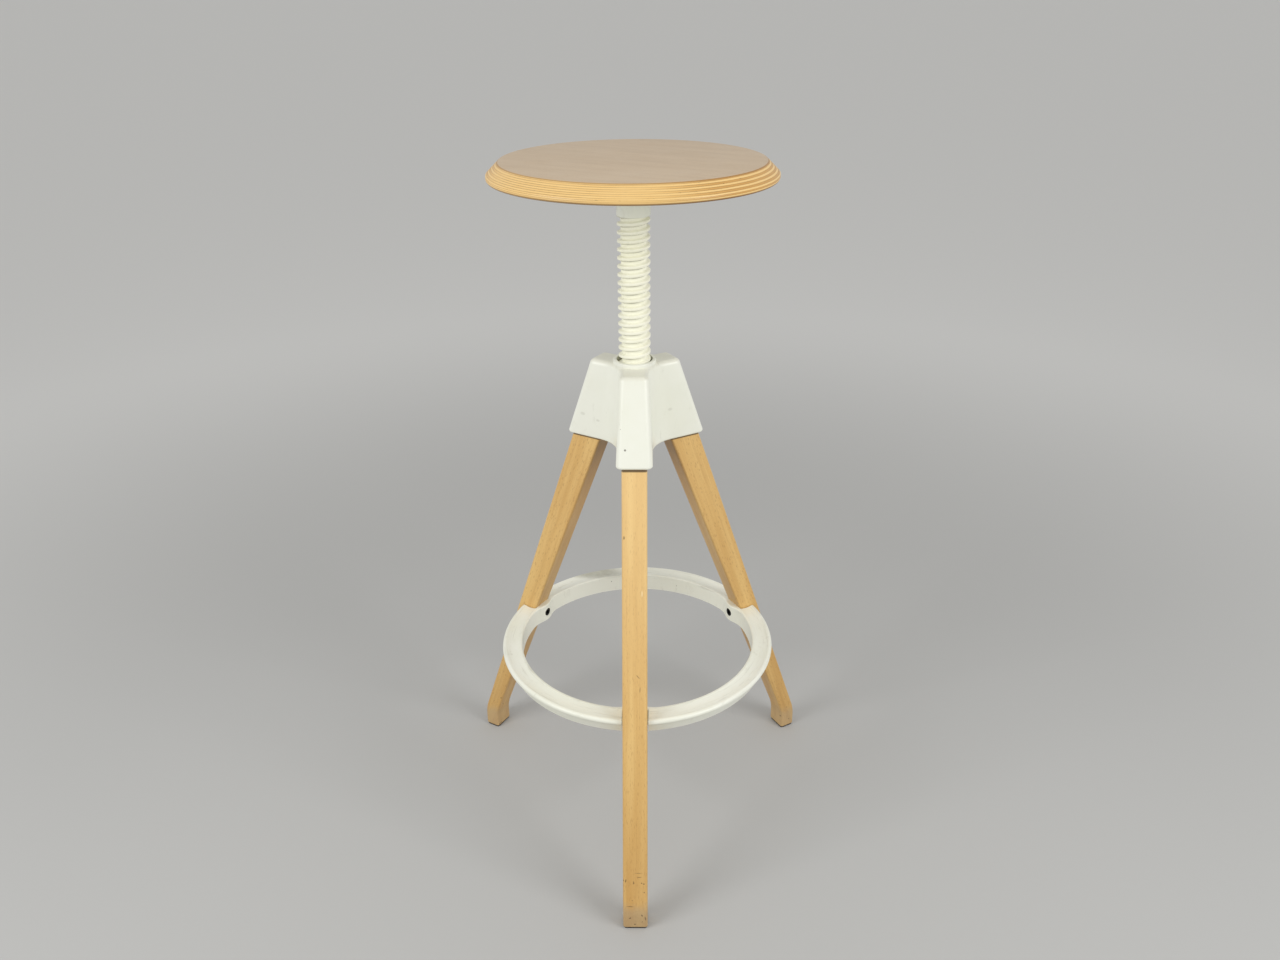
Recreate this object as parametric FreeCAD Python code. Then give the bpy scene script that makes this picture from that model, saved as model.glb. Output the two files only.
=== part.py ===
import FreeCAD, Part
import math
import os

# A tripod bar stool whose round plywood seat winds up and down on a coarse screw, in millimetres.
# The origin is on the floor under the seat's axis, +Z is up and the front leg stands towards -Y.
# Each leg is built with X pointing outwards along it, and then turned to its own direction.

V = FreeCAD.Vector
UP = V(0, 0, 1)
ORIGIN = V(0, 0, 0)

# Leg directions, in degrees about the seat's axis
FRONT = -90.0
LEG_SPACING = 120.0
LEGS = {"front": FRONT, "right": FRONT + LEG_SPACING, "left": FRONT + 2 * LEG_SPACING}

# Legs: beech, leaning inwards from the foot, which is cut upright, to the top in the hub
LEG_WIDTH = 28.0
LEG_EDGE_ROUND = 2.5
LEG_TOP_OUTER_R = 46.4
LEG_TOP_DEPTH = 41.15
LEG_TOP_DROP = 11.5
TONGUE_WALL = 7.35
FOOT_OUTER_R = 249.5
FOOT_DEPTH = 20.5
FOOT_BEND_Z = 28.0
FOOT_BEND_ROUND = 60.0
FOOT_BOTTOM_ROUND = 1.2

# Glides under the feet, each on a pin
GLIDE_THICK = 2.0
GLIDE_INSET = 1.0
GLIDE_PIN_R = 2.0
GLIDE_PIN_LENGTH = 12.0

# Hub casting
HUB_TOP_Z = 597.5
HUB_HEIGHT = 94.5
ARM_END_TOP_WALL = 8.0
ARM_END_BOTTOM_WALL = 6.0
ARM_TOP_WALL = 2.0
ARM_BOTTOM_WALL = 6.25
ARM_CORNER_ROUND = 7.0
BAY_TOP_FILLET = 36.0
BAY_BOTTOM_FILLET = 44.0
HUB_TOP_ROUND = 6.0
HUB_BOTTOM_ROUND = 2.6
LIP_HEIGHT = 4.5
LIP_WALL = 3.7
LIP_ROUND = 1.2
LEDGE_THICK = 5.0
LEDGE_CLEAR = 1.0

# Screw post and its threaded bush
POST_R = 17.7
POST_BORE_R = 8.0
THREAD_PITCH = 9.0
GROOVE_R = 2.8
GROOVE_SINK = 0.7
GROOVE_FRONT_Z = 640.2
RIDGE_R = 2.4
RIDGE_LIFT = 0.2
BUSH_LENGTH = 54.0
BUSH_DEPTH = 8.0
BUSH_WALL = 1.95
BORE_SOLID_ABOVE = 15.0

# Travel of the seat from the height that is modelled
LIFT_UP = 19.0
LIFT_DOWN = 156.0
STOP_GAP = 0.5
COLLAR_GAP = 1.0

# Stop at the lower end of the post
STOP_R = 21.0
STOP_THICK = 4.0
STOP_EDGE_ROUND = 1.0
STOP_PLAY = 0.15
SHOULDER_R = 6.0
STOP_SCREW_R = 4.0
STOP_SCREW_LENGTH = 14.0
STOP_HEAD_R = 11.0
STOP_HEAD_HEIGHT = 6.0
STOP_KEY = 6.0
STOP_KEY_DEPTH = 3.0
PLUG_LENGTH = 20.0

# Seat board: plywood with a bevelled edge
SEAT_R = 150.0
SEAT_THICK = 18.0
BEVEL_WIDTH = 13.0
BEVEL_HEIGHT = 12.5
SEAT_TOP_ROUND = 1.5
SEAT_RIM_ROUND = 2.5

# Seat plate: a ribbed disc with a sleeve that takes the top of the post
PLATE_R = 85.0
PLATE_EDGE = 3.0
PLATE_EDGE_ROUND = 1.5
PLATE_MIDDLE = 9.0
SLEEVE_LENGTH = 39.0
SLEEVE_R = 18.0
SLEEVE_FILLET = 6.0
SLEEVE_ROUND = 1.2
SPIGOT_R = 13.0
SPIGOT_ROOF = 6.0
SPIGOT_PLAY = 1.0
RIB_COUNT = 6
RIB_THICK = 4.0
RIB_HEIGHT = 16.0
CROSS_PIN_R = 2.5
CROSS_PIN_DROP = 20.0
CROSS_PIN_SINK = 0.3

# Wood screws that hold the plate to the board
PLATE_SCREW_COUNT = 6
PLATE_SCREW_CIRCLE = 68.0
PLATE_SCREW_R = 2.0
PLATE_SCREW_HEAD_R = 4.0
PLATE_SCREW_HEAD_HEIGHT = 2.6
PLATE_SCREW_HEAD_ROUND = 1.5
PLATE_SCREW_BITE = 12.0
PLATE_SCREW_TIP = 4.0
PLATE_SEAT_THICK = 3.0
DRIVE_SLOT = 1.0

# Leg screws, driven from inside the hub into inserts in the legs
SCREW_R = 3.0
SCREW_HEAD_R = 5.0
SCREW_HEAD_HEIGHT = 6.0
SCREW_KEY = 5.0
SCREW_KEY_DEPTH = 3.0
INSERT_R = 4.5
INSERT_LENGTH = 14.0
INSERT_SINK = 1.0
LEG_SCREW_RISE = 13.0
LEG_SCREW_SEAT = 4.5

# Foot ring: a cast channel ring with a bead round its tread, thickened to a boss at each leg
RING_TOP_Z = 233.5
RING_WIDTH = 24.5
RING_WALL = 3.2
RING_WALL_HEIGHT = 22.5
RING_SKIRT_HEIGHT = 13.0
RING_SKIRT_LEAN = 5.0
RING_RIM_STEP = 0.5
RING_DISH = 1.3
RING_BEAD_R = 3.5
RING_BEAD_DROP = 0.5
RING_BEAD_START = 108.0
RING_RIM_ROUND = 1.6
RING_LEG_SLIT = 1.0
BOSS_THICK = 12.7
BOSS_SWELL = 6.0
BOSS_ROUND = 26.0
BOSS_BLEND = 35.0
BOSS_PAD_HALF = 13.0
RING_BOLT_DROP = 11.5
RING_BOLT_SINK = 0.5

# Lock screws for the bush, one above the other at the back of the hub
LOCK_SCREW_R = 2.5
LOCK_SCREW_DIMPLE = 0.8
LOCK_SCREW_SINK = 0.4
LOCK_SCREW_LOW = 16.0
LOCK_SCREW_HIGH = 40.0
LOCK_SCREW_KEY = 2.5
LOCK_SCREW_KEY_DEPTH = 2.5
BACK_BAY = 90.0

# Clearances
FIT = 0.1
SOCKET_CLEAR = 0.3
SHANK_CLEAR = 0.3
HEAD_CLEAR = 0.4
SHOULDER_CLEAR = 0.2
HOLE_SPARE = 1.0

# A cutting shape runs this far past a face, and an edge this near a height lies on it
OVERRUN = 1.0
NEAR = 0.01

# Heights and radii that follow from these
HUB_BOTTOM_Z = HUB_TOP_Z - HUB_HEIGHT
LIP_TOP_Z = HUB_TOP_Z + LIP_HEIGHT
BUSH_TOP_Z = LIP_TOP_Z - BUSH_DEPTH
BUSH_BOTTOM_Z = BUSH_TOP_Z - BUSH_LENGTH
LEDGE_BOTTOM_Z = BUSH_BOTTOM_Z - LEDGE_THICK
LOCK_SCREWS_Z = [BUSH_BOTTOM_Z + LOCK_SCREW_LOW, BUSH_BOTTOM_Z + LOCK_SCREW_HIGH]
GROOVE_PATH_R = POST_R - GROOVE_SINK
THREAD_CLEAR = GROOVE_R - RIDGE_R
BUSH_BORE_R = POST_R + THREAD_CLEAR
BUSH_R = BUSH_BORE_R + BUSH_WALL
HUB_BORE_R = BUSH_R + FIT
TONGUE_INNER_R = HUB_BORE_R + TONGUE_WALL
LEG_TOP_Z = HUB_TOP_Z - LEG_TOP_DROP
LEG_SCREW_Z = HUB_BOTTOM_Z + LEG_SCREW_RISE
LEG_OUTER_SLOPE = (FOOT_OUTER_R - LEG_TOP_OUTER_R) / (LEG_TOP_Z - FOOT_BEND_Z)
LEG_TAPER = (LEG_TOP_DEPTH - FOOT_DEPTH) / (LEG_TOP_Z - FOOT_BEND_Z)
LEG_INNER_SLOPE = LEG_OUTER_SLOPE + LEG_TAPER
LEG_INNER_LEAN = math.atan(LEG_INNER_SLOPE)
CAVITY_R = STOP_R + LEDGE_CLEAR
COLLAR_Z = LIP_TOP_Z + LIFT_DOWN + COLLAR_GAP
SEAT_BOTTOM_Z = COLLAR_Z + SLEEVE_LENGTH
SEAT_TOP_Z = SEAT_BOTTOM_Z + SEAT_THICK
STOP_TOP_Z = LEDGE_BOTTOM_Z - LIFT_UP - STOP_GAP
POST_END_Z = STOP_TOP_Z + STOP_PLAY
SPIGOT_TOP_Z = SEAT_BOTTOM_Z - SPIGOT_ROOF - SPIGOT_PLAY
RING_BOTTOM_Z = RING_TOP_Z - RING_WALL_HEIGHT
RING_BOLT_Z = RING_TOP_Z - RING_BOLT_DROP


def leg_outer(z):
    """Radius of the leg's outer face at a height."""
    return FOOT_OUTER_R - (z - FOOT_BEND_Z) * LEG_OUTER_SLOPE


def leg_inner(z):
    """Radius of the leg's inner face at a height."""
    return FOOT_OUTER_R - FOOT_DEPTH - (z - FOOT_BEND_Z) * LEG_INNER_SLOPE


def leg_inner_z(r):
    """Height at which the leg's inner face has a radius."""
    return FOOT_BEND_Z + (FOOT_OUTER_R - FOOT_DEPTH - r) / LEG_INNER_SLOPE


def turned(shape, degrees):
    """A copy of a shape, turned about the seat's axis."""
    copy = shape.copy()
    copy.rotate(ORIGIN, UP, degrees)
    return copy


def around(shape, count, first=0.0):
    """Copies of a shape, evenly spaced about the seat's axis."""
    return [turned(shape, first + 360.0 * i / count) for i in range(count)]


def at_legs(shape):
    """A copy of a shape at each leg."""
    return [turned(shape, angle) for angle in LEGS.values()]


def cylinder(radius, start, direction, length):
    """A cylinder from a point along a direction."""
    return Part.makeCylinder(radius, length, start, direction)


def line(a, b):
    """A straight edge between two points."""
    return Part.LineSegment(a, b).toShape()


def arc(a, through, b):
    """A round edge through three points."""
    return Part.Arc(a, through, b).toShape()


def corner(before, at, after, radius):
    """Start, middle and end of the arc that rounds a corner between two straight runs."""
    back = (before - at).normalize()
    ahead = (after - at).normalize()
    half = back.getAngle(ahead) / 2
    reach = radius / math.tan(half)
    toward = (back + ahead).normalize()
    middle = at + toward * (radius / math.sin(half) - radius)
    return at + back * reach, middle, at + ahead * reach


def rounded_wire(points, rounds):
    """A closed outline of straight runs, with each named corner rounded to its radius."""
    ends = []
    for i, point in enumerate(points):
        if rounds.get(i):
            ends.append(corner(points[i - 1], point, points[(i + 1) % len(points)], rounds[i]))
        else:
            ends.append((point, None, point))
    edges = []
    for i, (start, middle, end) in enumerate(ends):
        if middle is not None:
            edges.append(arc(start, middle, end))
        following = ends[(i + 1) % len(ends)][0]
        if end.distanceToPoint(following) > NEAR:
            edges.append(line(end, following))
    return Part.Wire(edges)


def spun(points, rounds=None):
    """A turned solid from an outline of radius and height."""
    outline = rounded_wire([V(r, 0, z) for r, z in points], rounds or {})
    return Part.Face(outline).revolve(ORIGIN, UP, 360)


def slab(points, half_width, rounds=None):
    """A plate of an outline of radius and height, on both sides of the leg's middle plane."""
    outline = rounded_wire([V(r, -half_width, z) for r, z in points], rounds or {})
    return Part.Face(outline).extrude(V(0, 2 * half_width, 0))


def hex_key(across, start, direction, depth):
    """The six-sided recess for a key of a given width across its flats."""
    side = direction.cross(UP)
    side = side.normalize() if side.Length > 0.1 else V(1, 0, 0)
    other = direction.cross(side).normalize()
    reach = across / math.sqrt(3)
    angles = [math.radians(60 * i) for i in range(6)]
    points = [start + side * (reach * math.cos(t)) + other * (reach * math.sin(t)) for t in angles]
    return Part.Face(Part.makePolygon(points + points[:1])).extrude(direction * depth)


def socket_screw(seat, direction, shank_length):
    """A socket head screw: its head stands back from the seat, its shank runs along the direction."""
    top = seat - direction * SCREW_HEAD_HEIGHT
    head = cylinder(SCREW_HEAD_R, top, direction, SCREW_HEAD_HEIGHT)
    shank = cylinder(SCREW_R, seat, direction, shank_length)
    return head.fuse(shank).cut(hex_key(SCREW_KEY, top, direction, SCREW_KEY_DEPTH))


def insert_ring(start, direction):
    """A threaded insert, drawn as a plain ring round the screw."""
    outer = cylinder(INSERT_R, start, direction, INSERT_LENGTH)
    return outer.cut(cylinder(SCREW_R + FIT, start, direction, INSERT_LENGTH))


def thread_front_z(z):
    """The first height, from a height upwards, at which the thread's helix crosses the front."""
    return GROOVE_FRONT_Z + math.ceil((z - GROOVE_FRONT_Z) / THREAD_PITCH) * THREAD_PITCH


def helix_rod(path_r, section_r, start_z, turns):
    """A round rod wound right-handed on the thread's helix, from a height at the front."""
    lead = math.atan2(THREAD_PITCH, 2 * math.pi * path_r)
    path = Part.Wire(Part.makeLongHelix(THREAD_PITCH, THREAD_PITCH * turns, path_r, 0, False))
    section = Part.makeCircle(section_r, V(path_r, 0, 0), V(0, math.cos(lead), math.sin(lead)))
    rod = path.makePipeShell([Part.Wire(section)], True, True)
    rod.rotate(ORIGIN, UP, FRONT)
    rod.translate(V(0, 0, start_z))
    return rod


# The foot ring's radii follow from the legs' inner faces at the height of its bolts
BOSS_FACE_R = leg_inner(RING_BOLT_Z) - BOSS_THICK
RING_INNER_R = BOSS_FACE_R + BOSS_SWELL
RING_OUTER_R = RING_INNER_R + RING_WIDTH
RING_WALL_OUTER_R = RING_INNER_R + RING_WALL

# The leg screws and ring bolts run into the legs along these lines
LEG_SCREW_AT = V(leg_inner(LEG_SCREW_Z), 0, LEG_SCREW_Z)
LEG_SCREW_WAY = V(math.cos(LEG_INNER_LEAN), 0, math.sin(LEG_INNER_LEAN))
LEG_SCREW_HEAD_SEAT = LEG_SCREW_AT - LEG_SCREW_WAY * LEG_SCREW_SEAT
LEG_INSERT_AT = LEG_SCREW_AT + LEG_SCREW_WAY * INSERT_SINK
RING_BOLT_WAY = V(1, 0, 0)
RING_BOLT_SEAT = V(BOSS_FACE_R + RING_BOLT_SINK + SCREW_HEAD_HEIGHT, 0, RING_BOLT_Z)
RING_INSERT_AT = V(leg_inner(RING_BOLT_Z - INSERT_R) + INSERT_SINK, 0, RING_BOLT_Z)


def make_leg():
    """One leg: tapered, with rounded edges, an upright foot and a tongue that goes up into the hub."""
    foot_inner_r = FOOT_OUTER_R - FOOT_DEPTH
    outline = [
        (FOOT_OUTER_R, GLIDE_THICK),
        (FOOT_OUTER_R, FOOT_BEND_Z),
        (leg_outer(LEG_TOP_Z), LEG_TOP_Z),
        (TONGUE_INNER_R, LEG_TOP_Z),
        (TONGUE_INNER_R, leg_inner_z(TONGUE_INNER_R)),
        (foot_inner_r, FOOT_BEND_Z),
        (foot_inner_r, GLIDE_THICK),
    ]
    leg = slab(outline, LEG_WIDTH / 2, {1: FOOT_BEND_ROUND, 5: FOOT_BEND_ROUND})
    highest = leg_inner_z(TONGUE_INNER_R)
    along = []
    for edge in leg.Edges:
        box = edge.BoundBox
        beside = box.YLength < NEAR
        runs_down = box.ZLength > NEAR and box.ZMin < highest - NEAR
        if beside and runs_down:
            along.append(edge)
    leg = leg.makeFillet(LEG_EDGE_ROUND, along)
    under = [e for e in leg.Edges if e.BoundBox.ZMax < GLIDE_THICK + NEAR]
    leg = leg.makeFillet(FOOT_BOTTOM_ROUND, under)
    insert_hole = INSERT_R + FIT
    hole_start = LEG_SCREW_AT - LEG_SCREW_WAY * OVERRUN
    hole_length = OVERRUN + INSERT_SINK + INSERT_LENGTH + HOLE_SPARE
    leg = leg.cut(cylinder(insert_hole, hole_start, LEG_SCREW_WAY, hole_length))
    ring_hole_start = RING_INSERT_AT - RING_BOLT_WAY * FOOT_DEPTH
    ring_hole_length = FOOT_DEPTH + INSERT_LENGTH + HOLE_SPARE
    leg = leg.cut(cylinder(insert_hole, ring_hole_start, RING_BOLT_WAY, ring_hole_length))
    return leg.cut(glide_pin(FIT, HOLE_SPARE))


def glide_pin(grow=0.0, longer=0.0):
    """The pin that holds a glide, or its hole when it is grown."""
    middle = FOOT_OUTER_R - FOOT_DEPTH / 2
    return cylinder(GLIDE_PIN_R + grow, V(middle, 0, GLIDE_THICK / 2), UP, GLIDE_PIN_LENGTH + longer)


def make_glide():
    """A thin glide under a foot, smaller than the foot all round, with its pin."""
    depth = FOOT_DEPTH - 2 * GLIDE_INSET
    width = LEG_WIDTH - 2 * GLIDE_INSET
    low = V(FOOT_OUTER_R - GLIDE_INSET - depth, -width / 2, 0)
    pad = Part.makeBox(depth, width, GLIDE_THICK, low)
    upright = [e for e in pad.Edges if e.BoundBox.ZLength > GLIDE_THICK / 2]
    return pad.makeFillet(LEG_EDGE_ROUND, upright).fuse(glide_pin())


def bay_radius(half, fillet):
    """Radius at which the fillet between two arms of a half width comes nearest to the axis."""
    return (half + fillet) / math.sin(math.radians(LEG_SPACING / 2)) - fillet


# The hub's arms and the bays between them, at its top and bottom
ARM_TOP_HALF = LEG_WIDTH / 2 + ARM_TOP_WALL
ARM_BOTTOM_HALF = LEG_WIDTH / 2 + ARM_BOTTOM_WALL
BAY_TOP_R = bay_radius(ARM_TOP_HALF, BAY_TOP_FILLET)
BAY_BOTTOM_R = bay_radius(ARM_BOTTOM_HALF, BAY_BOTTOM_FILLET)


def bay_at(z):
    """Radius of the middle of a bay at a height."""
    return BAY_BOTTOM_R + (BAY_TOP_R - BAY_BOTTOM_R) * (z - HUB_BOTTOM_Z) / HUB_HEIGHT


def hub_outline(z, half, fillet, end_wall):
    """The hub's outline at a height: three round-cornered arms, with one hollow arc between each two."""
    end_r = leg_outer(z) + end_wall
    half_turn = math.radians(LEG_SPACING / 2)
    inside = ARM_CORNER_ROUND * (1 - math.sqrt(0.5))
    side = [
        V((half + fillet) / math.tan(half_turn), half, z),
        V(end_r - ARM_CORNER_ROUND, half, z),
        V(end_r - inside, half - inside, z),
        V(end_r, half - ARM_CORNER_ROUND, z),
    ]
    other = [V(p.x, -p.y, p.z) for p in side]
    bay_r = bay_radius(half, fillet)
    bay = V(bay_r * math.cos(half_turn), bay_r * math.sin(half_turn), z)
    next_arm = FreeCAD.Rotation(UP, LEG_SPACING).multVec(other[0])
    arm = Part.Compound([
        line(other[0], other[1]),
        arc(other[1], other[2], other[3]),
        line(other[3], side[3]),
        arc(side[3], side[2], side[1]),
        line(side[1], side[0]),
        arc(side[0], bay, next_arm),
    ])
    edges = []
    for turned_arm in at_legs(arm):
        edges += turned_arm.Edges
    return Part.Wire(edges)


def leg_socket():
    """The pocket in an arm that takes the top of a leg, open at the bottom."""
    low = HUB_BOTTOM_Z - ARM_CORNER_ROUND
    high = LEG_TOP_Z + SOCKET_CLEAR
    inner_r = TONGUE_INNER_R - SOCKET_CLEAR
    outline = [
        (leg_outer(low) + SOCKET_CLEAR, low),
        (leg_outer(high) + SOCKET_CLEAR, high),
        (inner_r, high),
        (inner_r, leg_inner_z(TONGUE_INNER_R)),
        (leg_inner(low) - SOCKET_CLEAR, low),
    ]
    return slab(outline, LEG_WIDTH / 2 + SOCKET_CLEAR)


def make_hub():
    """The hub casting: arms and bays, lip, bore and ledge for the bush, leg sockets, screw holes."""
    bottom = hub_outline(HUB_BOTTOM_Z, ARM_BOTTOM_HALF, BAY_BOTTOM_FILLET, ARM_END_BOTTOM_WALL)
    top = hub_outline(HUB_TOP_Z, ARM_TOP_HALF, BAY_TOP_FILLET, ARM_END_TOP_WALL)
    hub = Part.makeLoft([bottom, top], True, True)
    top_edges = [e for e in hub.Edges if e.BoundBox.ZMin > HUB_TOP_Z - NEAR]
    hub = hub.makeFillet(HUB_TOP_ROUND, top_edges)
    bottom_edges = [e for e in hub.Edges if e.BoundBox.ZMax < HUB_BOTTOM_Z + NEAR]
    hub = hub.makeFillet(HUB_BOTTOM_ROUND, bottom_edges)
    lip_r = HUB_BORE_R + LIP_WALL
    lip_low = HUB_TOP_Z - 2 * HUB_TOP_ROUND
    lip = spun([(0, lip_low), (lip_r, lip_low), (lip_r, LIP_TOP_Z), (0, LIP_TOP_Z)], {2: LIP_ROUND})
    hub = hub.fuse(lip)
    below = V(0, 0, HUB_BOTTOM_Z - OVERRUN)
    bore = cylinder(HUB_BORE_R, V(0, 0, BUSH_BOTTOM_Z), UP, LIP_TOP_Z - BUSH_BOTTOM_Z + OVERRUN)
    way = cylinder(POST_R + LEDGE_CLEAR, below, UP, BUSH_TOP_Z - below.z)
    cavity = cylinder(CAVITY_R, below, UP, LEDGE_BOTTOM_Z - below.z)
    holes = [bore, way, cavity]
    holes += at_legs(leg_socket())
    shank_start = LEG_SCREW_AT + LEG_SCREW_WAY * OVERRUN
    shank_hole = cylinder(SCREW_R + SHANK_CLEAR, shank_start, -LEG_SCREW_WAY, CAVITY_R)
    head_hole = cylinder(SCREW_HEAD_R + HEAD_CLEAR, LEG_SCREW_HEAD_SEAT, -LEG_SCREW_WAY, CAVITY_R)
    holes += at_legs(shank_hole) + at_legs(head_hole)
    holes += lock_screw_ways()
    return hub.cut(holes)


def lock_screw_ways():
    """Holes for the lock screws, from the bush's dimples out through the back bay of the hub."""
    start = BUSH_R - LOCK_SCREW_DIMPLE
    holes = []
    for z in LOCK_SCREWS_Z:
        hole = cylinder(LOCK_SCREW_R + FIT, V(start, 0, z), V(1, 0, 0), CAVITY_R)
        holes.append(turned(hole, BACK_BAY))
    return holes


def make_lock_screws():
    """Headless screws that keep the bush from turning, just sunk in the back bay of the hub."""
    start = BUSH_R - LOCK_SCREW_DIMPLE + FIT
    screws = []
    for z in LOCK_SCREWS_Z:
        outer = V(bay_at(z) - LOCK_SCREW_SINK, 0, z)
        screw = cylinder(LOCK_SCREW_R, V(start, 0, z), V(1, 0, 0), outer.x - start)
        screw = screw.cut(hex_key(LOCK_SCREW_KEY, outer, V(-1, 0, 0), LOCK_SCREW_KEY_DEPTH))
        screws.append(turned(screw, BACK_BAY))
    return Part.Compound(screws)


def make_bush():
    """The threaded bush, which stands on the hub's ledge: its ridge runs in the post's groove."""
    bush = cylinder(BUSH_R, V(0, 0, BUSH_BOTTOM_Z), UP, BUSH_LENGTH)
    bore = cylinder(BUSH_BORE_R, V(0, 0, BUSH_BOTTOM_Z - OVERRUN), UP, BUSH_LENGTH + 2 * OVERRUN)
    start = thread_front_z(BUSH_BOTTOM_Z + 2 * RIDGE_R)
    turns = math.floor((BUSH_TOP_Z - 2 * RIDGE_R - start) / THREAD_PITCH)
    ridge = helix_rod(GROOVE_PATH_R + RIDGE_LIFT, RIDGE_R, start, turns)
    return bush.cut(bore.cut(ridge)).cut(lock_screw_ways())


def make_post():
    """The screw post: a coarse round groove, a bore from below and a spigot for the sleeve."""
    post = cylinder(POST_R, V(0, 0, POST_END_Z), UP, COLLAR_Z - POST_END_Z)
    start = thread_front_z(POST_END_Z - 2 * THREAD_PITCH)
    turns = math.ceil((COLLAR_Z - start) / THREAD_PITCH) + 2
    post = post.cut(helix_rod(GROOVE_PATH_R, GROOVE_R, start, turns))
    post = post.fuse(cylinder(SPIGOT_R, V(0, 0, COLLAR_Z - SLEEVE_FILLET), UP,
                              SPIGOT_TOP_Z - COLLAR_Z + SLEEVE_FILLET))
    bore_length = COLLAR_Z - BORE_SOLID_ABOVE - POST_END_Z
    post = post.cut(cylinder(POST_BORE_R, V(0, 0, POST_END_Z), UP, bore_length))
    return post.cut(cross_pin(FIT, OVERRUN))


def cross_pin(grow=0.0, longer=0.0):
    """The pin through the sleeve and the post, or its hole when it is grown."""
    half = SLEEVE_R - CROSS_PIN_SINK + longer
    height = SEAT_BOTTOM_Z - CROSS_PIN_DROP
    return cylinder(CROSS_PIN_R + grow, V(-half, 0, height), V(1, 0, 0), 2 * half)


def make_end_plug():
    """The plug pressed into the lower end of the post, tapped for the stop screw."""
    plug = cylinder(POST_BORE_R - FIT, V(0, 0, POST_END_Z), UP, PLUG_LENGTH)
    hole_length = STOP_SCREW_LENGTH + HOLE_SPARE
    return plug.cut(cylinder(STOP_SCREW_R + FIT, V(0, 0, POST_END_Z), UP, hole_length))


def make_stop_washer():
    """The loose washer that meets the underside of the hub's ledge when the seat is wound right up."""
    return spun([
        (SHOULDER_R + SHOULDER_CLEAR, STOP_TOP_Z - STOP_THICK),
        (STOP_R, STOP_TOP_Z - STOP_THICK),
        (STOP_R, STOP_TOP_Z),
        (SHOULDER_R + SHOULDER_CLEAR, STOP_TOP_Z),
    ], {1: STOP_EDGE_ROUND, 2: STOP_EDGE_ROUND})


def make_stop_screw():
    """The shoulder screw that carries the stop washer."""
    head_top = POST_END_Z - STOP_THICK - 2 * STOP_PLAY
    head_low = head_top - STOP_HEAD_HEIGHT
    screw = spun([
        (0, head_low),
        (STOP_HEAD_R, head_low),
        (STOP_HEAD_R, head_top),
        (SHOULDER_R, head_top),
        (SHOULDER_R, POST_END_Z),
        (STOP_SCREW_R, POST_END_Z),
        (STOP_SCREW_R, POST_END_Z + STOP_SCREW_LENGTH),
        (0, POST_END_Z + STOP_SCREW_LENGTH),
    ], {1: STOP_EDGE_ROUND})
    return screw.cut(hex_key(STOP_KEY, V(0, 0, head_low), UP, STOP_KEY_DEPTH))


def make_seat_board():
    """The plywood board: bevelled above, with a narrow upright rim and pilot holes below."""
    board = spun([
        (0, SEAT_BOTTOM_Z),
        (SEAT_R, SEAT_BOTTOM_Z),
        (SEAT_R, SEAT_TOP_Z - BEVEL_HEIGHT),
        (SEAT_R - BEVEL_WIDTH, SEAT_TOP_Z),
        (0, SEAT_TOP_Z),
    ], {1: SEAT_RIM_ROUND, 2: SEAT_TOP_ROUND, 3: SEAT_TOP_ROUND})
    pilot = cylinder(PLATE_SCREW_R + FIT, V(PLATE_SCREW_CIRCLE, 0, SEAT_BOTTOM_Z), UP,
                     PLATE_SCREW_BITE + HOLE_SPARE)
    return board.cut(around(pilot, PLATE_SCREW_COUNT))


def make_seat_plate():
    """The cast plate under the board: a disc that thickens inwards, ribs, and the post's sleeve."""
    slope = (PLATE_MIDDLE - PLATE_EDGE) / (PLATE_R - SLEEVE_R)
    plate = spun([
        (0, SEAT_BOTTOM_Z),
        (PLATE_R, SEAT_BOTTOM_Z),
        (PLATE_R, SEAT_BOTTOM_Z - PLATE_EDGE),
        (SLEEVE_R, SEAT_BOTTOM_Z - PLATE_MIDDLE),
        (SLEEVE_R, COLLAR_Z),
        (0, COLLAR_Z),
    ], {2: PLATE_EDGE_ROUND, 3: SLEEVE_FILLET, 4: SLEEVE_ROUND})
    rib_start = (SPIGOT_R + SLEEVE_R) / 2
    rib_end = PLATE_SCREW_CIRCLE + PLATE_SCREW_HEAD_R
    rib_top = SEAT_BOTTOM_Z - PLATE_EDGE / 2
    rib = slab([
        (rib_start, rib_top),
        (rib_end, rib_top),
        (rib_end, SEAT_BOTTOM_Z - PLATE_EDGE - slope * (PLATE_R - rib_end)),
        (SLEEVE_R, SEAT_BOTTOM_Z - RIB_HEIGHT),
        (rib_start, SEAT_BOTTOM_Z - RIB_HEIGHT),
    ], RIB_THICK / 2)
    plate = plate.fuse(around(rib, RIB_COUNT, 180.0 / PLATE_SCREW_COUNT))
    spigot_room = SLEEVE_LENGTH - SPIGOT_ROOF
    holes = [cylinder(SPIGOT_R + FIT, V(0, 0, COLLAR_Z), UP, spigot_room), cross_pin(FIT, OVERRUN)]
    shank = cylinder(PLATE_SCREW_R + SHANK_CLEAR, V(PLATE_SCREW_CIRCLE, 0, COLLAR_Z), UP,
                     SLEEVE_LENGTH)
    head = cylinder(PLATE_SCREW_HEAD_R + HEAD_CLEAR,
                    V(PLATE_SCREW_CIRCLE, 0, SEAT_BOTTOM_Z - PLATE_SEAT_THICK), -UP, RIB_HEIGHT)
    holes += around(shank, PLATE_SCREW_COUNT) + around(head, PLATE_SCREW_COUNT)
    return plate.cut(holes)


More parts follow.
